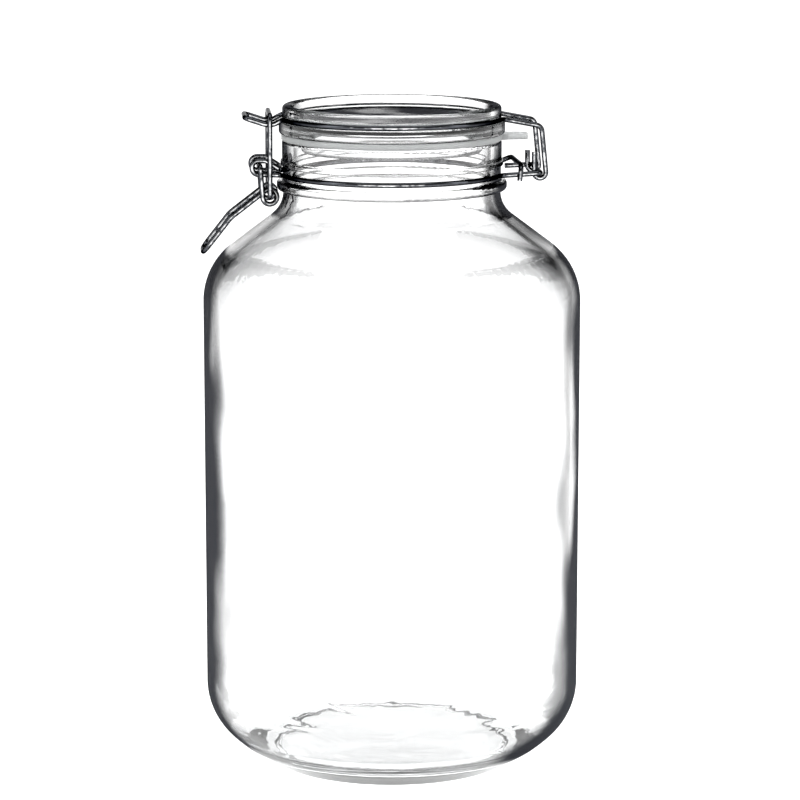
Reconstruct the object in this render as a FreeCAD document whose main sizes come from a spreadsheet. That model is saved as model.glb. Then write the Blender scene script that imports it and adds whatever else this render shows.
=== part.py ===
import FreeCAD, Part
import math
import os
import re
import Sketcher

# Clip-top storage jar: a glass jar and a glass lid, a sealing ring with a pull
# tab, and four pieces of bent steel wire. The neck ring sits in the groove of the
# jar's neck and carries the hinge bar and the two eyes of the latch. The lid ring
# holds the lid, hooks round the hinge bar and ends in a tongue. The bail goes over
# the tongue, and the lever pulls the bail down.
#
# Millimetres. +Z is up, the jar's axis is the Z axis, and the origin is on the
# surface that the jar stands on. The hinge is at +X and the latch at -X.

# The sizes that can be set one by one. A name ending in _gap, _fit, _room or _lift
# is a clearance, and one ending in _rise, _drop, _out or _in is the step to the
# next feature, so what seats on something moves with it.
SIZES = {
    # glass jar
    "body_radius": 85.0,
    "wall": 3.8,
    "foot_width": 6.5,
    "foot_slope": 2.0,
    "foot_depth": 2.6,
    "foot_in": 12.3,
    "foot_round": 3.0,
    "foot_inner_round": 1.5,
    "foot_edge_round": 0.8,
    "floor_thick": 6.4,
    "floor_dome": 1.0,
    "heel_in": 15.2,
    "heel_height": 7.6,
    "heel_rise": 13.4,
    "heel_inner_rise": 1.0,
    "heel_bend": 30.0,
    "heel_floor_bend": 18.0,
    "shoulder_slope": 0.7520661,
    "shoulder_bend": 31.0,
    "shoulder_inner_drop": 3.4,
    "neck_radius": 48.7,
    "neck_height": 253.2,
    "neck_bend": 14.0,
    "neck_inner_drop": 2.0,
    "neck_wall": 4.2,
    "bead_out": 2.9,
    "bead_rise": 7.6,
    "bead_thick": 4.4,
    "bead_round": 1.7,
    "groove_out": 0.2,
    "groove_room": 2.1,
    "groove_round": 0.8,
    "ridge_out": 1.0,
    "ridge_thick": 2.1,
    "ridge_root_round": 0.4,
    "rim_out": 0.5,
    "rim_rise": 9.2,
    "rim_root_round": 0.6,
    "rim_round": 1.4,
    # glass lid
    "flange_out": 1.4,
    "flange_thick": 5.9,
    "flange_round": 1.2,
    "crown_in": 1.6,
    "crown_rise": 6.7,
    "crown_wall": 4.6,
    "crown_round": 1.6,
    "panel_rise": 7.5,
    "panel_thick": 4.5,
    "panel_round": 1.5,
    "collar_gap": 4.0,
    "collar_wall": 4.0,
    "collar_drop": 8.0,
    # sealing ring
    "gasket_thick": 2.8,
    "gasket_out": 0.4,
    "gasket_fit": 0.2,
    "gasket_round": 0.6,
    "tab_out": 11.0,
    "tab_width": 10.0,
    "tab_flare": 12.0,
    "tab_flare_out": 2.0,
    "tab_root": 19.0,
    "tab_root_in": 5.0,
    "tab_inset": 0.2,
    "tab_offset": -3.5,
    "tab_round": 3.0,
    # wire pieces
    "wire": 2.3,
    "seat_gap": 0.1,
    "side_gap": 0.2,
    "ring_gap": 0.0875,
    "ring_bends": 5,
    # hinge
    "hinge_out": 16.3,
    "hinge_rise": 4.0,
    "hook_width": 28.0,
    "hook_gap": 0.3,
    "hook_room": 4.8240,
    "hook_run_bend": 4.0,
    "near_post_rise": 9.1,
    "far_post_rise": 6.8,
    "bracket_gap": 1.0,
    "bracket_bend": 2.2,
    "bracket_room": 4.6843,
    "bracket_run_bend": 5.0,
    "leg_out": 3.7,
    "leg_rise": 0.4,
    "knee_out": 0.5,
    "knee_drop": 2.0,
    "knee_bend": 3.0,
    "cross_out": 7.4,
    "cross_gap": 1.0,
    "cross_room": 9.2755,
    "cross_run": 6.5,
    "cross_in": 4.0,
    "cross_bow": 1.0,
    "cross_bow_out": 0.3,
    "cross_bow_rise": 0.7,
    "cross_end_in": 0.2,
    "cross_end_drop": 0.4,
    "cross_bend": 1.8,
    "tail_in": 0.8,
    "cross_drop": 5.8,
    # latch
    "eye_out": 10.4,
    "eye_rise": 7.0,
    "eye_slack": 1.4,
    "eye_nose": 3.6,
    "eye_bar": 6.2,
    "eye_bend": 2.9,
    "eye_entry_bend": 1.6,
    "eye_room": 4.8232,
    "eye_run_bend": 3.0,
    "eye_spread": 18.0,
    "coil_in": 4.2,
    "coil_drop": 13.4,
    "coil_gap": 0.9,
    "pin_bend": 1.5,
    "bar_in": 0.1,
    "bar_lift": 1.8,
    "bar_bend": 2.6,
    "bail_pin_bend": 1.6,
    "tongue_width": 22.0,
    "tongue_out": 10.8,
    "tongue_rise": 2.1,
    "tongue_bend": 3.0,
    "tongue_room": 5.3598,
    "tongue_run_bend": 2.4,
    "saddle_out": 6.1,
    "saddle_drop": 2.0,
    "saddle_length": 4.0,
    "saddle_bend": 4.0,
    "grip_out": 13.3,
    "grip_drop": 22.8,
    "grip_bend": 12.0,
    "handle_out": 12.3,
    "handle_drop": 15.6,
    "handle_bend": 5.0,
}

# The sizes that follow from those: heights above what the jar stands on, radii
# from the axis, and reaches along X.
LINKED = {
    "floor_height": "foot_depth + floor_thick",
    "heel_radius": "body_radius - heel_in",
    "heel_top": "heel_height + heel_rise",
    "foot_outer": "heel_radius - foot_in",
    "foot_inner": "foot_outer - foot_width",
    "shoulder_height": "neck_height - (body_radius - neck_radius) * shoulder_slope",
    "bead_radius": "neck_radius + bead_out",
    "bead_bottom": "neck_height + bead_rise",
    "bead_top": "bead_bottom + bead_thick",
    "groove_radius": "neck_radius + groove_out",
    "groove_top": "bead_top + 2 * wire + groove_room",
    "ridge_radius": "groove_radius + ridge_out",
    "ridge_top": "groove_top + ridge_thick",
    "rim_radius": "neck_radius + rim_out",
    "rim_top": "ridge_top + rim_rise",
    "mouth_radius": "neck_radius - neck_wall",
    "lid_base": "rim_top + gasket_thick",
    "ledge": "lid_base + flange_thick",
    "flange_radius": "rim_radius + flange_out",
    "crown_radius": "flange_radius - crown_in",
    "crown_top": "ledge + crown_rise",
    "panel_top": "lid_base + panel_rise",
    "panel_under": "panel_top - panel_thick",
    "collar_radius": "mouth_radius - collar_gap",
    "collar_bottom": "lid_base - collar_drop",
    "gasket_radius": "rim_radius + gasket_out",
    "tab_reach": "gasket_radius + tab_out",
    "hinge_reach": "groove_radius + hinge_out",
    "hinge_height": "bead_top + hinge_rise",
    "knee_reach": "hinge_reach + knee_out",
    "knee_height": "ledge - knee_drop",
    "cross_reach": "groove_radius + cross_out",
    "eye_reach": "groove_radius + eye_out",
    "eye_height": "bead_top + eye_rise",
    "eye_front": "eye_reach + eye_nose",
    "eye_top": "eye_height + wire + side_gap",
    "eye_bottom": "eye_top - 2 * wire - eye_slack",
    "coil_reach": "eye_reach - coil_in",
    "coil_height": "eye_height - coil_drop",
    "coil_radius": "wire + coil_gap",
    "saddle_reach": "crown_radius + saddle_out",
    "tongue_reach": "saddle_reach + tongue_out",
    "tongue_height": "ledge + tongue_rise",
    "bar_reach": "saddle_reach - bar_in",
    "grip_reach": "eye_reach + grip_out",
    "grip_height": "eye_height - grip_drop",
    "handle_reach": "grip_reach + handle_out",
    "handle_height": "grip_height - handle_drop",
}


def make_sheet(doc):
    """The spreadsheet that holds every driving size and those that follow from them."""
    sheet = doc.addObject("Spreadsheet::Sheet", "Sizes")
    cells = list(SIZES.items()) + [(name, f"={rule}") for name, rule in LINKED.items()]
    for row, (name, content) in enumerate(cells, start=1):
        sheet.set(f"A{row}", name)
        sheet.set(f"B{row}", str(content))
        sheet.setAlias(f"B{row}", name)
    doc.recompute()
    return sheet


def turned_body(doc, label, corners, axis_ends):
    """A body turned about Z from a polygon, with rounded corners.

    corners lists (radius, height, round) as expressions over the sheet, from one
    axis end to the other, with None where a corner stays sharp. axis_ends holds
    the heights at which the outline meets the axis, first and last.
    """
    body = doc.addObject("PartDesign::Body", label.title().replace("_", "") + "Body")
    body.Label = label
    sketch = body.newObject("Sketcher::SketchObject", label + "_profile")
    plane = next(f for f in body.Origin.OriginFeatures if f.Role == "XZ_Plane")
    sketch.AttachmentSupport = (plane, [""])
    sketch.MapMode = "FlatFace"
    places = [place_of(sketch, corner) for corner in corners]
    if axis_ends:
        first, last = (value_of(sketch, height) for height in axis_ends)
        places = [(0.0, first)] + places + [(0.0, last)]
    lines = []
    for (radius, height), (next_radius, next_height) in zip(places, places[1:] + places[:1]):
        start = FreeCAD.Vector(radius, height, 0)
        end = FreeCAD.Vector(next_radius, next_height, 0)
        lines.append(sketch.addGeometry(Part.LineSegment(start, end), False))
    for line, following in zip(lines, lines[1:] + lines[:1]):
        sketch.addConstraint(Sketcher.Constraint("Coincident", line, 2, following, 1))
    offset = 0
    if axis_ends:
        offset = 1
        for line, height in ((lines[0], axis_ends[0]), (lines[-1], axis_ends[1])):
            sketch.addConstraint(Sketcher.Constraint("PointOnObject", line, 1, -2))
            tie(sketch, "DistanceY", line, height)
    for line, corner in zip(lines[offset:], corners):
        tie(sketch, "DistanceX", line, corner[0])
        tie(sketch, "DistanceY", line, corner[1])
    turn = body.newObject("PartDesign::Revolution", label + "_turned")
    turn.Profile = sketch
    turn.ReferenceAxis = (sketch, ["V_Axis"])
    turn.Angle = 360.0
    doc.recompute()
    for number, corner in enumerate(corners, start=1):
        if corner[2]:
            round_edge(doc, body, f"{label}_round_{number}", corner)
    return body


def in_sheet(rules):
    """The same rules with each size's name pointed at its cell in the sheet."""
    return tuple(rule and re.sub(r"[a-z_]*[a-z]", r"Sizes.\g<0>", rule) for rule in rules)


def value_of(feature, expression):
    """The value of an expression over the sheet, worked out by the document."""
    return float(feature.evalExpression(expression))


def place_of(feature, corner):
    return value_of(feature, corner[0]), value_of(feature, corner[1])


def tie(sketch, kind, line, expression):
    """Hold the start of a line at a distance from the origin given by the sheet."""
    value = value_of(sketch, expression)
    index = sketch.addConstraint(Sketcher.Constraint(kind, -1, 1, line, 1, value))
    sketch.setExpression(f"Constraints[{index}]", expression)


def round_edge(doc, body, name, corner):
    """Round the circular edge that lies at the corner's radius and height."""
    radius, height = place_of(body, corner)
    base = body.Tip
    edges = []
    for number, edge in enumerate(base.Shape.Edges, start=1):
        curve = edge.Curve
        if not isinstance(curve, Part.Circle):
            continue
        if abs(curve.Radius - radius) < 1e-4 and abs(curve.Center.z - height) < 1e-4:
            edges.append(f"Edge{number}")
    if not edges:
        raise ValueError(f"{name} finds no edge to round")
    fillet = body.newObject("PartDesign::Fillet", name)
    fillet.Base = (base, edges)
    fillet.Radius = value_of(body, corner[2])
    fillet.setExpression("Radius", corner[2])
    doc.recompute()


def bend(before, corner, after, radius):
    """The start, middle and end of the arc that rounds a corner of a wire's route."""
    back = (before - corner).normalize()
    ahead = (after - corner).normalize()
    half = back.getAngle(ahead) / 2
    trim = radius / math.tan(half)
    middle_line = (back + ahead).normalize()
    middle = corner + middle_line * (radius / math.sin(half) - radius)
    return corner + back * trim, middle, corner + ahead * trim


def wire_route(route):
    """Straight runs joined by tangent arcs, from (point, bend radius) pairs."""
    edges = []
    here = route[0][0]
    for (before, _), (corner, radius), (after, _) in zip(route, route[1:], route[2:]):
        start, middle, end = bend(before, corner, after, radius)
        if (start - here).dot(corner - before) < -1e-6:
            raise ValueError(f"the bend at {corner} has no room before it")
        if (start - here).Length > 1e-6:
            edges.append(Part.LineSegment(here, start).toShape())
        edges.append(Part.Arc(start, middle, end).toShape())
        here = end
    edges.append(Part.LineSegment(here, route[-1][0]).toShape())
    return Part.Wire(edges)


def bent_wire(doc, label, route):
    """A piece of round wire swept along its route."""
    path = doc.addObject("Part::Feature", label + "_route")
    path.Shape = wire_route(route)
    section = doc.addObject("Part::Circle", label + "_section")
    section.setExpression("Radius", "Sizes.wire / 2")
    start, following = route[0][0], route[1][0]
    facing = FreeCAD.Rotation(FreeCAD.Vector(0, 0, 1), following - start)
    section.Placement = FreeCAD.Placement(start, facing)
    sweep = doc.addObject("Part::Sweep", label)
    sweep.Label = label
    sweep.Sections = [section]
    sweep.Spine = (path, [f"Edge{n + 1}" for n in range(len(path.Shape.Edges))])
    sweep.Solid = True
    sweep.Frenet = False
    doc.recompute()
    expected = path.Shape.Length * math.pi * (doc.Sizes.wire / 2) ** 2
    share = sweep.Shape.Volume / expected
    print(f"{label}: wire {path.Shape.Length:.1f} mm, volume / expected {share:.4f}")
    return sweep


def mirrored(route):
    """The same route on the other side of the XZ plane, run the other way."""
    return [(FreeCAD.Vector(p.x, -p.y, p.z), radius) for p, radius in reversed(route)]


def ring_corners(s, radius, height, start, end):
    """Corners that, rounded to the ring's own radius, make its arc from start to end."""
    count = int(s.ring_bends)
    step = (end - start) / count
    reach = radius / math.cos(step / 2)
    corners = []
    for number in range(count):
        angle = start + step * (number + 0.5)
        point = FreeCAD.Vector(reach * math.cos(angle), reach * math.sin(angle), height)
        corners.append((point, radius))
    return corners


def leaving_angle(radius, side, room):
    """How far round a ring lies the point that is room wider than a run at y = side."""
    return math.asin((side + room) / radius)


def tangent_corner(radius, height, angle, side, turn_radius):
    """Where a ring's tangent at the angle meets the run parallel to X at y = side."""
    reach = (radius - side * math.sin(angle)) / math.cos(angle)
    return FreeCAD.Vector(reach, side, height), turn_radius


def ring_run(radius, height, angle, length):
    """A point on the ring's tangent, past its touching point at the angle."""
    x = radius * math.cos(angle) + length * math.sin(angle)
    y = radius * math.sin(angle) - length * math.cos(angle)
    return FreeCAD.Vector(x, y, height)


def bracket_width(s):
    """The distance of the neck ring's hinge legs from the XZ plane, outside the hooks."""
    return s.hook_width / 2 + s.wire + s.bracket_gap


def neck_ring_route(s):
    """From the far leg's end round the hinge bar, the neck and both eyes."""
    point = FreeCAD.Vector
    radius = s.groove_radius + s.seat_gap + s.wire / 2
    height = s.groove_top - s.ring_gap - s.seat_gap - 1.5 * s.wire
    width = bracket_width(s)
    leg_height = height + s.leg_rise
    hinge = s.hinge_reach
    eye_side = s.eye_spread / 2
    eye_inner = radius + s.seat_gap
    bracket_angle = leaving_angle(radius, width, s.bracket_room)
    eye_angle = math.pi - leaving_angle(radius, eye_side, s.eye_room)
    tail_angle = leaving_angle(radius, width, s.cross_room)

    bracket = [
        (point(s.groove_radius + s.leg_out, width, leg_height), 0),
        (point(hinge, width, s.hinge_height), s.bracket_bend),
        (point(hinge, -width, s.hinge_height), s.bracket_bend),
        tangent_corner(radius, height, -bracket_angle, -width, s.bracket_run_bend),
    ]
    near_eye = [
        tangent_corner(radius, height, -eye_angle, -eye_side, s.eye_run_bend),
        (point(-s.eye_front, -eye_side, s.eye_bottom), s.eye_bend),
        (point(-s.eye_front, -eye_side, s.eye_top), s.eye_bend),
        (point(-s.eye_front + s.eye_bar, -eye_side, s.eye_top), s.bracket_bend),
        (point(-eye_inner, -eye_side, height + s.wire + s.seat_gap), s.eye_entry_bend),
    ]
    return (
        bracket
        + ring_corners(s, radius, height, -bracket_angle, -eye_angle)
        + near_eye
        + mirrored(near_eye)
        + ring_corners(s, radius, height, eye_angle, tail_angle)
        + crossing_tail(s, radius, height, tail_angle)
    )


def crossing_tail(s, radius, height, angle):
    """The neck ring's tail: over its own leg, across behind the hinge and down beside it."""
    point = FreeCAD.Vector
    width = bracket_width(s)
    tail_side = -width - s.wire - s.seat_gap
    crossing = height + s.leg_rise + s.wire + s.cross_gap
    reach = s.cross_reach
    bow = s.cross_bow
    bowed_out = point(reach + s.cross_bow_out, s.cross_in - width, crossing + s.cross_bow_rise)
    return [
        (ring_run(radius, height, angle, s.cross_run), s.bracket_run_bend),
        (point(reach - bow, width - s.cross_in / 2, crossing + bow), s.hook_run_bend),
        (bowed_out, 2 * s.hook_run_bend),
        (point(reach - s.cross_end_in, tail_side, crossing - s.cross_end_drop), s.cross_bend),
        (point(reach - s.tail_in, tail_side, crossing - s.cross_drop), 0),
    ]


def lid_ring_route(s):
    """From one hook over the hinge bar, round the lid and its tongue, to the other."""
    point = FreeCAD.Vector
    radius = s.crown_radius + s.seat_gap + s.wire / 2
    height = ring_height(s)
    side = s.hook_width / 2
    hook = s.wire + s.hook_gap
    post = s.hinge_reach - hook
    axis = point(s.hinge_reach, 0, s.hinge_height)
    knee = point(s.knee_reach, -side, s.knee_height)
    rise = leaving_heading(axis, hook, knee)
    tongue_side = s.tongue_width / 2
    saddle = height - s.saddle_drop
    hook_angle = leaving_angle(radius, side, s.hook_room)
    tongue_angle = math.pi - leaving_angle(radius, tongue_side, s.tongue_room)
    near_hook = [
        (point(post, -side, s.hinge_height + s.near_post_rise), 0),
        *turn_corners(axis, hook, -math.pi / 2, rise, [-side] * 3),
        (knee, s.knee_bend),
        tangent_corner(radius, height, -hook_angle, -side, s.hook_run_bend),
    ]
    far_hook = mirrored(near_hook)
    far_hook[-1] = (point(post, side, s.hinge_height + s.far_post_rise), 0)
    tongue = [
        tangent_corner(radius, height, -tongue_angle, -tongue_side, s.tongue_run_bend),
        (point(-s.saddle_reach + s.saddle_length / 2, -tongue_side, saddle), s.saddle_bend),
        (point(-s.saddle_reach - s.saddle_length / 2, -tongue_side, saddle), 2 * s.saddle_bend),
        (point(-s.tongue_reach, -tongue_side, s.tongue_height), s.tongue_bend),
    ]
    return (
        near_hook
        + ring_corners(s, radius, height, -hook_angle, -tongue_angle)
        + tongue
        + mirrored(tongue)
        + ring_corners(s, radius, height, tongue_angle, hook_angle)
        + far_hook
    )


def ring_height(s):
    """The height of the lid ring's centre line, just clear of the flange it lies on."""
    return s.ledge + s.seat_gap / 2 + s.wire / 2


def turn_corners(centre, radius, entry, leaving, sides):
    """Corners that, rounded to the radius, run anticlockwise about a point in XZ.

    entry and leaving are the headings at the two ends. sides gives each corner's
    distance from the XZ plane, so the turn can step sideways as a coil does.
    """
    turn = (leaving - entry) % math.tau
    count = len(sides)
    reach = radius / math.cos(turn / count / 2)
    corners = []
    for number, side in enumerate(sides):
        angle = entry - math.pi / 2 + turn * (number + 0.5) / count
        x = centre.x + reach * math.cos(angle)
        z = centre.z + reach * math.sin(angle)
        corners.append((FreeCAD.Vector(x, side, z), radius))
    return corners


def leaving_heading(centre, radius, target):
    """The heading of the tangent that leaves an anticlockwise turn for a target."""
    out = target - centre
    flat = math.hypot(out.x, out.z)
    return math.atan2(out.z, out.x) + math.asin(radius / flat)


def link_width(s):
    """The distance of the lever's links from the XZ plane, outside the neck ring's eyes."""
    return s.eye_spread / 2 + s.wire + s.side_gap + s.seat_gap


def lever_route(s):
    """From one pivot pin down the link, round the coil and along the handle, and back."""
    point = FreeCAD.Vector
    link_side = link_width(s)
    arm_side = link_side - s.wire - s.side_gap
    pivot = point(-s.eye_reach, 0, s.eye_height)
    pin_end = s.eye_spread / 2 - s.wire - s.side_gap
    coil = point(-s.coil_reach, 0, s.coil_height)
    grip = point(-s.grip_reach, 0, s.grip_height)
    down = coil - pivot
    entry = math.atan2(down.z, down.x) - math.asin(s.coil_radius / down.Length)
    leaving = leaving_heading(coil, s.coil_radius, grip)
    steps = int(s.ring_bends) + 1
    sides = [-link_side + (link_side - arm_side) * n / (steps - 1) for n in range(steps)]
    half = [
        (pivot + point(0, -pin_end, 0), 0),
        (pivot + point(0, -link_side, 0), s.pin_bend),
        *turn_corners(coil, s.coil_radius, entry, leaving, sides),
        (grip + point(0, -arm_side, 0), s.grip_bend),
        (point(-s.handle_reach, -arm_side, s.handle_height), s.handle_bend),
    ]
    return half + mirrored(half)


def bail_route(s):
    """From one pin in the lever's coil up, over the tongue and down to the other."""
    point = FreeCAD.Vector
    side = link_width(s) + s.wire + s.side_gap
    pin_end = link_width(s) - 1.5 * s.wire - 2 * s.side_gap
    bar_height = ring_height(s) - s.saddle_drop + s.wire + s.bar_lift
    half = [
        (point(-s.coil_reach, -pin_end, s.coil_height), 0),
        (point(-s.coil_reach, -side, s.coil_height), s.bail_pin_bend),
        (point(-s.bar_reach, -side, bar_height), s.bar_bend),
    ]
    return half + mirrored(half)


JAR_CORNERS = [
    ("foot_inner", "foot_depth", "foot_inner_round"),
    ("foot_inner + foot_slope", "0", "foot_edge_round"),
    ("foot_outer", "0", "foot_round"),
    ("heel_radius", "heel_height", "heel_bend"),
    ("body_radius", "heel_top", "heel_bend"),
    ("body_radius", "shoulder_height", "shoulder_bend"),
    ("neck_radius", "neck_height", "neck_bend"),
    ("neck_radius", "bead_bottom", None),
    ("bead_radius", "bead_bottom", "bead_round"),
    ("bead_radius", "bead_top", "bead_round"),
    ("groove_radius", "bead_top", "groove_round"),
    ("groove_radius", "groove_top", "ridge_root_round"),
    ("ridge_radius", "groove_top", "ridge_root_round"),
    ("ridge_radius", "ridge_top", "ridge_root_round"),
    ("rim_radius", "ridge_top", "rim_root_round"),
    ("rim_radius", "rim_top", "rim_round"),
    ("mouth_radius", "rim_top", "rim_round"),
    ("mouth_radius", "neck_height - neck_inner_drop", "neck_bend + wall"),
    ("body_radius - wall", "shoulder_height - shoulder_inner_drop", "shoulder_bend - wall"),
    ("body_radius - wall", "heel_top + heel_inner_rise", "heel_bend - wall"),
    ("heel_radius", "floor_height", "heel_floor_bend"),
]

LID_CORNERS = [
    ("crown_radius - crown_wall", "panel_top", "panel_round"),
    ("crown_radius - crown_wall", "crown_top", "crown_round"),
    ("crown_radius", "crown_top", "crown_round"),
    ("crown_radius", "ledge", None),
    ("flange_radius", "ledge", "flange_round / 2"),
    ("flange_radius", "lid_base", "flange_round"),
    ("collar_radius", "lid_base", None),
    ("collar_radius", "collar_bottom", "panel_round"),
    ("collar_radius - collar_wall", "collar_bottom", "panel_round"),
    ("collar_radius - collar_wall", "panel_under", "panel_round"),
]

GASKET_CORNERS = [
    ("collar_radius + gasket_fit", "rim_top", None),
    ("gasket_radius", "rim_top", "gasket_round"),
    ("gasket_radius", "lid_base", "gasket_round"),
    ("collar_radius + gasket_fit", "lid_base", None),
]

TAB_OUTLINE = [
    ("gasket_radius - tab_root_in", "tab_offset - tab_root / 2"),
    ("gasket_radius + tab_flare_out", "tab_offset - tab_flare / 2"),
    ("tab_reach", "tab_offset - tab_width / 2"),
    ("tab_reach", "tab_offset + tab_width / 2"),
    ("gasket_radius + tab_flare_out", "tab_offset + tab_flare / 2"),
    ("gasket_radius - tab_root_in", "tab_offset + tab_root / 2"),
]


def make_jar_glass(doc):
    """The jar: foot ring, heel, body, shoulder, neck bead, groove, ridge and rim."""
    ends = in_sheet(("foot_depth", "floor_height + floor_dome"))
    return turned_body(doc, "jar_glass", [in_sheet(corner) for corner in JAR_CORNERS], ends)


def make_lid_glass(doc):
    """The lid: a flange on the gasket, a raised crown and a collar in the mouth."""
    ends = in_sheet(("panel_top", "panel_under"))
    return turned_body(doc, "lid_glass", [in_sheet(corner) for corner in LID_CORNERS], ends)


def make_gasket(doc):
    """The sealing ring with its pull tab between the two hinge hooks."""
    body = turned_body(doc, "gasket", [in_sheet(corner) for corner in GASKET_CORNERS], None)
    sketch = body.newObject("Sketcher::SketchObject", "gasket_tab_outline")
    plane = next(f for f in body.Origin.OriginFeatures if f.Role == "XY_Plane")
    sketch.AttachmentSupport = (plane, [""])
    sketch.MapMode = "FlatFace"
    sketch.setExpression("AttachmentOffset.Base.z", "Sizes.rim_top + Sizes.tab_inset")
    outline = [in_sheet(corner) for corner in TAB_OUTLINE]
    places = [place_of(sketch, corner) for corner in outline]
    lines = []
    for (x, y), (next_x, next_y) in zip(places, places[1:] + places[:1]):
        line = Part.LineSegment(FreeCAD.Vector(x, y, 0), FreeCAD.Vector(next_x, next_y, 0))
        lines.append(sketch.addGeometry(line, False))
    for line, following in zip(lines, lines[1:] + lines[:1]):
        sketch.addConstraint(Sketcher.Constraint("Coincident", line, 2, following, 1))
    for line, corner in zip(lines, outline):
        tie(sketch, "DistanceX", line, corner[0])
        tie(sketch, "DistanceY", line, corner[1])
    pad = body.newObject("PartDesign::Pad", "gasket_tab")
    pad.Profile = sketch
    pad.setExpression("Length", "Sizes.gasket_thick - 2 * Sizes.tab_inset")
    doc.recompute()
    reach = value_of(body, "Sizes.tab_reach")
    edges = []
    for number, edge in enumerate(pad.Shape.Edges, start=1):
        ends = [vertex.Point for vertex in edge.Vertexes]
        upright = len(ends) == 2 and abs(ends[0].x - ends[1].x) + abs(ends[0].y - ends[1].y) < 1e-6
        if upright and abs(ends[0].x - reach) < 1e-6:
            edges.append(f"Edge{number}")
    fillet = body.newObject("PartDesign::Fillet", "gasket_tab_round")
    fillet.Base = (pad, edges)
    fillet.Radius = value_of(body, "Sizes.tab_round")
    fillet.setExpression("Radius", "Sizes.tab_round")
    doc.recompute()
    return body


def check_and_write(doc, parts):
    """Stop at a failed object or an invalid shape, then write one file per piece."""
    for item in doc.Objects:
        if "Invalid" in item.State or "Error" in item.State:
            raise ValueError(f"{item.Name} failed: {item.State}")
    for part in parts:
        shape = part.Shape
        if shape.isNull() or not shape.isValid() or len(shape.Solids) != 1:
            raise ValueError(f"{part.Label} isn't one valid solid")
    os.makedirs("parts", exist_ok=True)
    for part in parts:
        part.Shape.exportStep(f"parts/{part.Label}.step")
        print(f"{part.Label}: {part.Shape.Volume / 1000:.2f} cm3")


def main():
    doc = FreeCAD.newDocument("ClipTopJar")
    sheet = make_sheet(doc)
    parts = [
        make_jar_glass(doc),
        make_lid_glass(doc),
        make_gasket(doc),
        bent_wire(doc, "neck_ring", neck_ring_route(sheet)),
        bent_wire(doc, "lid_ring", lid_ring_route(sheet)),
        bent_wire(doc, "lever", lever_route(sheet)),
        bent_wire(doc, "bail", bail_route(sheet)),
    ]
    doc.recompute()
    check_and_write(doc, parts)


main()
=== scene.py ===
import math

import bpy
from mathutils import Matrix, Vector

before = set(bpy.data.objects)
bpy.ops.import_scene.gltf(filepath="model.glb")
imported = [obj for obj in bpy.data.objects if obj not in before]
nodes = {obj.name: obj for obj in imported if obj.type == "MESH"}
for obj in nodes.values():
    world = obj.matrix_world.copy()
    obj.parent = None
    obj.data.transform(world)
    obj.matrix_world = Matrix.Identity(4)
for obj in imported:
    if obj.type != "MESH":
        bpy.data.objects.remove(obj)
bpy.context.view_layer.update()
bpy.ops.object.select_all(action="DESELECT")

MM = 0.001


def linear(hex_colour):
    """The sRGB hex colour as the linear values that a socket takes."""
    parts = [int(hex_colour[i:i + 2], 16) / 255 for i in (1, 3, 5)]
    return [c / 12.92 if c <= 0.04045 else ((c + 0.055) / 1.055) ** 2.4 for c in parts] + [1.0]


def add_node(tree, kind, settings=None, links=None):
    """Adds one node to a tree. Settings are attributes or input sockets, and links are input
    sockets. A socket goes by its name, or by its number where names repeat."""
    node = tree.nodes.new(kind)
    for name, value in (settings or {}).items():
        if isinstance(name, str) and hasattr(node, name):
            setattr(node, name, value)
        else:
            node.inputs[name].default_value = value
    for name, source in (links or {}).items():
        tree.links.new(source, node.inputs[name])
    return node


def empty_material(name):
    material = bpy.data.materials.new(name)
    material.use_nodes = True
    material.node_tree.nodes.clear()
    return material, material.node_tree


# ---------------------------------------------------------------- finishes

# A noise texture stays mostly between these two values.
NOISE_LOW, NOISE_HIGH = 0.3, 0.7

# Relief of the glass: the spacing of its waves and streaks, and how deep they go.
JAR_WAVES = 45 * MM
LID_WAVES = 20 * MM
STREAKS = 24 * MM
RELIEF = 0.5 * MM
STREAK_SQUASH = 2.6     # how much closer the streaks lie in height than along the wall
STREAK_DEPTH = 2.6      # of the deepest streaks, beside the waves
HEEL_TOP = 70 * MM      # height at which the jar's streaks begin
UNDER_LID = 1 * MM      # the same for the lid: a height below it, so it has none
DEEPEST = 0.3           # share of that height at which the streaks are deepest
FLOOR_EDGE = 64 * MM    # radius within which the floor has hardly any streaks
WALL_FOOT = 80 * MM     # radius beyond which they have their full depth
FLOOR_SHARE = 0.04      # what the floor has of that depth

# Painted dark edges of the glass, by slant: 0 faces the eye and 1 lies along the line of sight.
JAR_PAINTED_EDGE_FROM, JAR_PAINTED_EDGE_TO = 0.57, 0.8
LID_PAINTED_EDGE_FROM, LID_PAINTED_EDGE_TO = 0.6, 0.92
PAINTED_EDGE_WANDER = 0.11      # how far the waves push the dark edge in or out
MOST_PAINTED_SHADE = 0.98        # share of the dark gloss where the edge is darkest

# A face is sloping or level by the upright part of its normal; level faces get less of the painted
# edge shade.
SLOPING, LEVEL = 0.7, 0.96
JAR_LEVEL_SHARE = 0.35
LID_LEVEL_SHARE = 1.0


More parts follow.
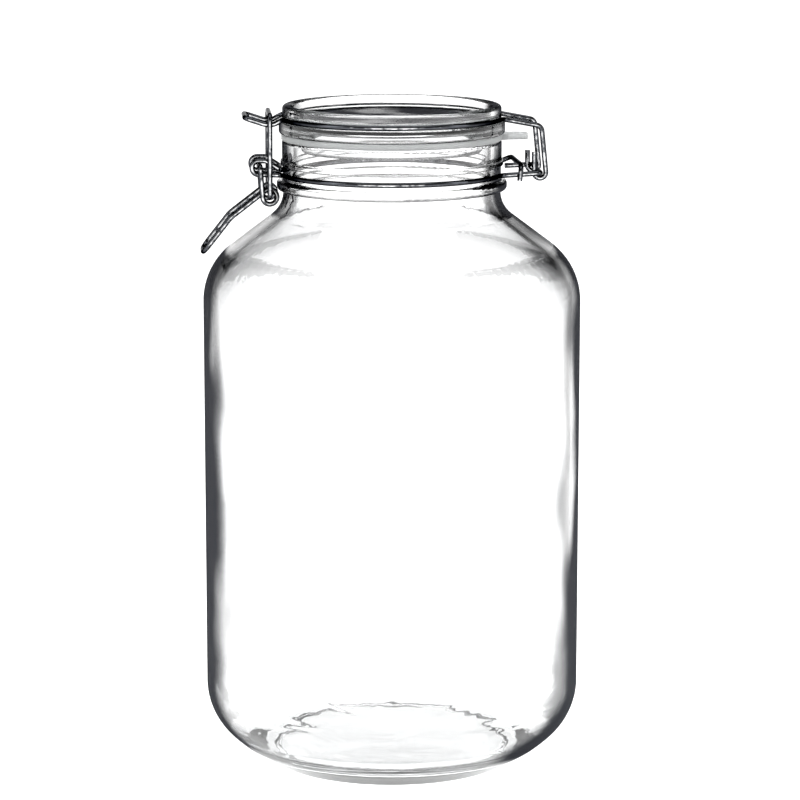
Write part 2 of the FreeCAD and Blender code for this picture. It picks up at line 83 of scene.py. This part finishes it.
def soda_lime_glass(name, waves, streaks_from, dark_from, dark_to, level_share):
    """Clear soda-lime glass from a mould: bright and smooth, with slow waves where the hot
    glass met the mould, and tighter streaks below streaks_from, where the thick heel cooled
    last. Its dark edges are painted shade for the dark of a room that real glass bends to the
    eye: the slant of the wall to the eye first greys the glass, and then mixes a painted dark
    gloss into it between dark_from and dark_to. Level faces count level_share of their slant."""
    material, tree = empty_material(name)
    place = add_node(tree, "ShaderNodeTexCoord").outputs["Object"]

    # Waves all over, and streaks in the outer, lower part of the heel.
    mould = add_node(tree, "ShaderNodeTexNoise",
                     {"Scale": 1 / waves, "Detail": 1.0, "Roughness": 0.3}, {"Vector": place})
    squashed = add_node(tree, "ShaderNodeMapping", {"Scale": (1.0, 1.0, STREAK_SQUASH)},
                        {"Vector": place})
    streaks = add_node(tree, "ShaderNodeTexNoise",
                       {"Scale": 1 / STREAKS, "Detail": 1.5, "Distortion": 0.6},
                       {"Vector": squashed.outputs["Vector"]})
    height = add_node(tree, "ShaderNodeSeparateXYZ", {}, {"Vector": place})
    low = add_node(tree, "ShaderNodeMapRange",
                   {"From Min": streaks_from, "From Max": DEEPEST * streaks_from,
                    "To Max": STREAK_DEPTH},
                   {"Value": height.outputs["Z"]})
    plan = add_node(tree, "ShaderNodeMapping", {"Scale": (1.0, 1.0, 0.0)}, {"Vector": place})
    radius = add_node(tree, "ShaderNodeVectorMath", {"operation": "LENGTH"},
                      {0: plan.outputs["Vector"]})
    outer = add_node(tree, "ShaderNodeMapRange",
                     {"From Min": FLOOR_EDGE, "From Max": WALL_FOOT,
                      "To Min": FLOOR_SHARE, "To Max": 1.0},
                     {"Value": radius.outputs["Value"]})
    heel = add_node(tree, "ShaderNodeMath", {"operation": "MULTIPLY"},
                    {0: low.outputs["Result"], 1: outer.outputs["Result"]})
    relief = add_node(tree, "ShaderNodeMath", {"operation": "MULTIPLY_ADD"},
                      {0: streaks.outputs["Fac"], 1: heel.outputs[0], 2: mould.outputs["Fac"]})
    bump = add_node(tree, "ShaderNodeBump", {"Strength": 0.35, "Distance": RELIEF},
                    {"Height": relief.outputs[0]})
    uneven_normal = bump.outputs["Normal"]

    # The slant of the wall, less on level faces, and pushed about by the waves: where the painted
    # dark edge falls.
    slant = add_node(tree, "ShaderNodeLayerWeight", {"Blend": 0.5}, {"Normal": uneven_normal})
    wander = add_node(tree, "ShaderNodeMapRange",
                      {"From Min": NOISE_LOW, "From Max": NOISE_HIGH,
                       "To Min": -PAINTED_EDGE_WANDER, "To Max": PAINTED_EDGE_WANDER},
                      {"Value": mould.outputs["Fac"]})
    shape = add_node(tree, "ShaderNodeNewGeometry")
    facing = add_node(tree, "ShaderNodeSeparateXYZ", {}, {"Vector": shape.outputs["Normal"]})
    level = add_node(tree, "ShaderNodeMath", {"operation": "ABSOLUTE"}, {0: facing.outputs["Z"]})
    share = add_node(tree, "ShaderNodeMapRange",
                     {"From Min": SLOPING, "From Max": LEVEL, "To Min": 1.0, "To Max": level_share},
                     {"Value": level.outputs[0]})
    wall = add_node(tree, "ShaderNodeMath", {"operation": "MULTIPLY"},
                    {0: slant.outputs["Facing"], 1: share.outputs["Result"]})
    pushed = add_node(tree, "ShaderNodeMath", {"operation": "ADD"},
                      {0: wall.outputs[0], 1: wander.outputs["Result"]})
    painted_edge_mask = add_node(tree, "ShaderNodeMapRange",
                    {"interpolation_type": "SMOOTHSTEP",
                     "From Min": dark_from, "From Max": dark_to, "To Max": MOST_PAINTED_SHADE},
                    {"Value": pushed.outputs[0]})

    # Clear glass that greys with the square of the slant, a painted shade, and the painted dark
    # gloss at its edges.
    squared = add_node(tree, "ShaderNodeMath", {"operation": "MULTIPLY"},
                       {0: wall.outputs[0], 1: wall.outputs[0]})
    # Painted shade: the base colour greys towards the edges by slant to the eye.
    painted_grey_tint = add_node(tree, "ShaderNodeMix",
                    {"data_type": "RGBA", 6: linear("#ffffff"), 7: linear("#c0c2c4")},
                    {0: squared.outputs[0]})
    glass = add_node(tree, "ShaderNodeBsdfPrincipled",
                     {"Roughness": 0.0, "IOR": 1.517, "Transmission Weight": 1.0},
                     {"Normal": uneven_normal, "Base Color": painted_grey_tint.outputs[2]})
    # A near-black gloss mixed in by slant: painted shade standing in for the dark of a room bent
    # through the glass's edges.
    painted_dark_gloss = add_node(tree, "ShaderNodeBsdfGlossy", {"Color": linear("#26272b"), "Roughness": 0.04},
                    {"Normal": uneven_normal})
    seen = add_node(tree, "ShaderNodeMixShader", {},
                    {"Fac": painted_edge_mask.outputs["Result"], 1: glass.outputs[0], 2: painted_dark_gloss.outputs[0]})

    # A lamp's light passes the walls straight on, nearly whole.
    path = add_node(tree, "ShaderNodeLightPath")
    passing = add_node(tree, "ShaderNodeBsdfTransparent", {"Color": linear("#f2f3f3")})
    surface = add_node(tree, "ShaderNodeMixShader", {},
                       {"Fac": path.outputs["Is Shadow Ray"],
                        1: seen.outputs[0], 2: passing.outputs[0]})
    body = add_node(tree, "ShaderNodeVolumeAbsorption",
                    {"Color": linear("#d6d8d9"), "Density": 9.0})
    add_node(tree, "ShaderNodeOutputMaterial", {},
             {"Surface": surface.outputs[0], "Volume": body.outputs["Volume"]})
    return material


# Marks of the draw on the wire. Real ones are finer, and these are as coarse as they have to
# be to show.
DRAW_MARKS = 2.5 * MM
# Slants for the painted highlight along the wire and its painted dark sides.
PAINTED_LINE_WANDER = 0.06      # how far the marks push the line of light, by slant
PAINTED_LINE_EDGE = 0.06        # slant at which the line of light has ended
PAINTED_DARK_SIDE = 0.5         # slant from which the wire is at its darkest
WIRE_SMOOTHEST, WIRE_ROUGHEST = 0.08, 0.2


def drawn_steel_wire():
    """Drawn spring steel with fine marks along the draw. Its base colour is painted by the slant
    of the wire to the eye: a painted white highlight along each wire, between painted dark
    sides that stand in for the reflection of a dark room."""
    material, tree = empty_material("drawn steel wire")
    place = add_node(tree, "ShaderNodeTexCoord").outputs["Object"]
    marks = add_node(tree, "ShaderNodeTexNoise", {"Scale": 1 / DRAW_MARKS, "Detail": 2.0},
                     {"Vector": place})
    rough = add_node(tree, "ShaderNodeMapRange", {"To Min": WIRE_SMOOTHEST, "To Max": WIRE_ROUGHEST},
                     {"Value": marks.outputs["Fac"]})
    slant = add_node(tree, "ShaderNodeLayerWeight", {"Blend": 0.5})
    wander = add_node(tree, "ShaderNodeMapRange",
                      {"From Min": NOISE_LOW, "From Max": NOISE_HIGH,
                       "To Min": -PAINTED_LINE_WANDER, "To Max": PAINTED_LINE_WANDER},
                      {"Value": marks.outputs["Fac"]})
    pushed = add_node(tree, "ShaderNodeMath", {"operation": "ADD"},
                      {0: slant.outputs["Facing"], 1: wander.outputs["Result"]})
    # Base colour by slant: a painted white highlight along the wire, going to painted dark sides
    # standing in for the reflection of a dark room.
    painted_highlight_ramp = add_node(tree, "ShaderNodeValToRGB", {}, {"Fac": pushed.outputs[0]})
    ramp = painted_highlight_ramp.color_ramp
    painted_highlight_stop, painted_dark_stop = ramp.elements
    painted_highlight_stop.position, painted_highlight_stop.color = 0.0, linear("#e6e7e8")
    painted_dark_stop.position, painted_dark_stop.color = PAINTED_DARK_SIDE, linear("#1f2023")
    ramp.elements.new(PAINTED_LINE_EDGE).color = linear("#4e5054")
    metal = add_node(tree, "ShaderNodeBsdfPrincipled",
                     {"Metallic": 1.0, "Specular Tint": linear("#6a6c70")},
                     {"Roughness": rough.outputs["Result"], "Base Color": painted_highlight_ramp.outputs["Color"]})
    add_node(tree, "ShaderNodeOutputMaterial", {}, {"Surface": metal.outputs["BSDF"]})
    return material


# Grain of the seal's surface, drawn coarser than the real one, so that it shows.
SEAL_GRAIN = 1.5 * MM
SEAL_SMOOTHEST, SEAL_ROUGHEST = 0.3, 0.42


def milky_silicone_seal():
    """Milky moulded silicone: pale, soft in its shine, and lets light through."""
    material, tree = empty_material("milky silicone seal")
    place = add_node(tree, "ShaderNodeTexCoord").outputs["Object"]
    grain = add_node(tree, "ShaderNodeTexNoise", {"Scale": 1 / SEAL_GRAIN, "Detail": 3.0},
                     {"Vector": place})
    rough = add_node(tree, "ShaderNodeMapRange", {"To Min": SEAL_SMOOTHEST, "To Max": SEAL_ROUGHEST},
                     {"Value": grain.outputs["Fac"]})
    silicone = add_node(tree, "ShaderNodeBsdfPrincipled",
                        {"Base Color": linear("#d9dbdb"), "IOR": 1.41, "Transmission Weight": 0.6},
                        {"Roughness": rough.outputs["Result"]})
    add_node(tree, "ShaderNodeOutputMaterial", {}, {"Surface": silicone.outputs["BSDF"]})
    return material


jar_finish = soda_lime_glass("blown soda-lime glass", JAR_WAVES, HEEL_TOP,
                             JAR_PAINTED_EDGE_FROM, JAR_PAINTED_EDGE_TO, JAR_LEVEL_SHARE)
lid_finish = soda_lime_glass("pressed soda-lime glass", LID_WAVES, UNDER_LID,
                             LID_PAINTED_EDGE_FROM, LID_PAINTED_EDGE_TO, LID_LEVEL_SHARE)
wire = drawn_steel_wire()
finishes = {"jar_glass": jar_finish, "lid_glass": lid_finish, "gasket": milky_silicone_seal(),
            "neck_ring": wire, "lid_ring": wire, "lever": wire, "bail": wire}
for name, finish in finishes.items():
    mesh = nodes[name].data
    mesh.materials.clear()
    mesh.materials.append(finish)

# ---------------------------------------------------------------- studio

scene = bpy.context.scene
scene.view_settings.view_transform = "Standard"

# The room glows white up to a little above the horizon and then fades to a dark ceiling. The
# two heights are the upright part of a look's direction.
FADE_FROM, FADE_TO = 0.1, 0.3
WALL_GLOW = 1.0
CEILING_GLOW = 0.04
FILL_LIGHT = 0.7        # what falls on things from all round

FLOOR_RADIUS = 14.0
FLOOR_DROP = 0.2 * MM   # keeps the paper clear of the foot ring
PAPER_GLOW = 0.7        # lifts the paper to white where it is seen


def seen_or_lit(tree):
    """1 for the eye, a reflection or a look through glass, 0 for light that falls on things."""
    path = add_node(tree, "ShaderNodeLightPath")
    shine = add_node(tree, "ShaderNodeMath", {"operation": "MAXIMUM"},
                     {0: path.outputs["Is Camera Ray"], 1: path.outputs["Is Glossy Ray"]})
    seen = add_node(tree, "ShaderNodeMath", {"operation": "MAXIMUM"},
                    {0: shine.outputs[0], 1: path.outputs["Is Transmission Ray"]})
    direct = add_node(tree, "ShaderNodeMath", {"operation": "LESS_THAN", 1: 0.5},
                      {0: path.outputs["Diffuse Depth"]})
    both = add_node(tree, "ShaderNodeMath", {"operation": "MULTIPLY"},
                    {0: seen.outputs[0], 1: direct.outputs[0]})
    return both.outputs[0]


world = bpy.data.worlds.new("studio")
scene.world = world
world.use_nodes = True
tree = world.node_tree
tree.nodes.clear()
seen = seen_or_lit(tree)
look = add_node(tree, "ShaderNodeTexCoord")
split = add_node(tree, "ShaderNodeSeparateXYZ", {}, {"Vector": look.outputs["Generated"]})
fade = add_node(tree, "ShaderNodeMapRange",
                {"From Min": FADE_FROM, "From Max": FADE_TO,
                 "To Min": WALL_GLOW, "To Max": CEILING_GLOW},
                {"Value": split.outputs["Z"]})
lit = add_node(tree, "ShaderNodeBackground", {"Color": linear("#ffffff"), "Strength": FILL_LIGHT})
shown = add_node(tree, "ShaderNodeBackground", {"Color": linear("#ffffff")},
                 {"Strength": fade.outputs["Result"]})
mix = add_node(tree, "ShaderNodeMixShader", {}, {0: seen, 1: lit.outputs[0], 2: shown.outputs[0]})
add_node(tree, "ShaderNodeOutputWorld", {}, {"Surface": mix.outputs[0]})

bpy.ops.mesh.primitive_circle_add(vertices=96, radius=FLOOR_RADIUS, fill_type="NGON",
                                  location=(0, 0, -FLOOR_DROP))
floor = bpy.context.object
floor.name = "studio_floor"
paper, tree = empty_material("white studio paper")
seen = seen_or_lit(tree)
matte = add_node(tree, "ShaderNodeBsdfDiffuse", {"Color": linear("#f4f4f4")})
glow = add_node(tree, "ShaderNodeEmission", {"Color": linear("#ffffff"), "Strength": PAPER_GLOW})
bright = add_node(tree, "ShaderNodeAddShader", {}, {0: matte.outputs[0], 1: glow.outputs[0]})
mix = add_node(tree, "ShaderNodeMixShader", {}, {0: seen, 1: matte.outputs[0], 2: bright.outputs[0]})
add_node(tree, "ShaderNodeOutputMaterial", {}, {"Surface": mix.outputs[0]})
floor.data.materials.append(paper)

# One softbox hangs over the jar and one stands at each side, a little to the front.
JAR_MIDDLE = (0, 0, 0.15)
TOP_PLACE = (0.0, 0.1, 1.5)
SIDE_OUT, SIDE_FRONT, SIDE_UP = 1.3, -0.5, 0.8
TOP_POWER = 14          # watts
SIDE_POWER = 6
SOFTBOX_LONG = 1.2
SOFTBOX_NARROW = 0.5


def soft_lamp(name, place, width, height, power):
    """A softbox that points at the middle of the jar."""
    data = bpy.data.lights.new(name, "AREA")
    data.shape = "RECTANGLE"
    data.size = width
    data.size_y = height
    data.energy = power
    lamp = bpy.data.objects.new(name, data)
    scene.collection.objects.link(lamp)
    lamp.location = place
    lamp.rotation_euler = (Vector(JAR_MIDDLE) - Vector(place)).to_track_quat("-Z", "Y").to_euler()


soft_lamp("top_softbox", TOP_PLACE, SOFTBOX_LONG, SOFTBOX_LONG, TOP_POWER)
soft_lamp("left_softbox", (-SIDE_OUT, SIDE_FRONT, SIDE_UP), SOFTBOX_NARROW, SOFTBOX_LONG, SIDE_POWER)
soft_lamp("right_softbox", (SIDE_OUT, SIDE_FRONT, SIDE_UP), SOFTBOX_NARROW, SOFTBOX_LONG, SIDE_POWER)

# ---------------------------------------------------------------- camera

SENSOR = 36.0
LENS = 151.3
SHIFT = 0.0102
CAMERA_TURN = math.radians(4.0)     # round the jar from straight in front
CAMERA_DISTANCE = 1.5               # from the jar's axis, on the level
CAMERA_HEIGHT = 0.4477
CAMERA_DIP = 0.1868                 # how far it looks down, in radians

camera_data = bpy.data.cameras.new("camera")
camera_data.sensor_width = SENSOR
camera_data.lens = LENS
camera_data.shift_x = SHIFT
camera = bpy.data.objects.new("camera", camera_data)
scene.collection.objects.link(camera)
camera.location = (-CAMERA_DISTANCE * math.sin(CAMERA_TURN),
                   -CAMERA_DISTANCE * math.cos(CAMERA_TURN), CAMERA_HEIGHT)
camera.rotation_euler = (math.pi / 2 - CAMERA_DIP, 0.0, -CAMERA_TURN)
scene.camera = camera
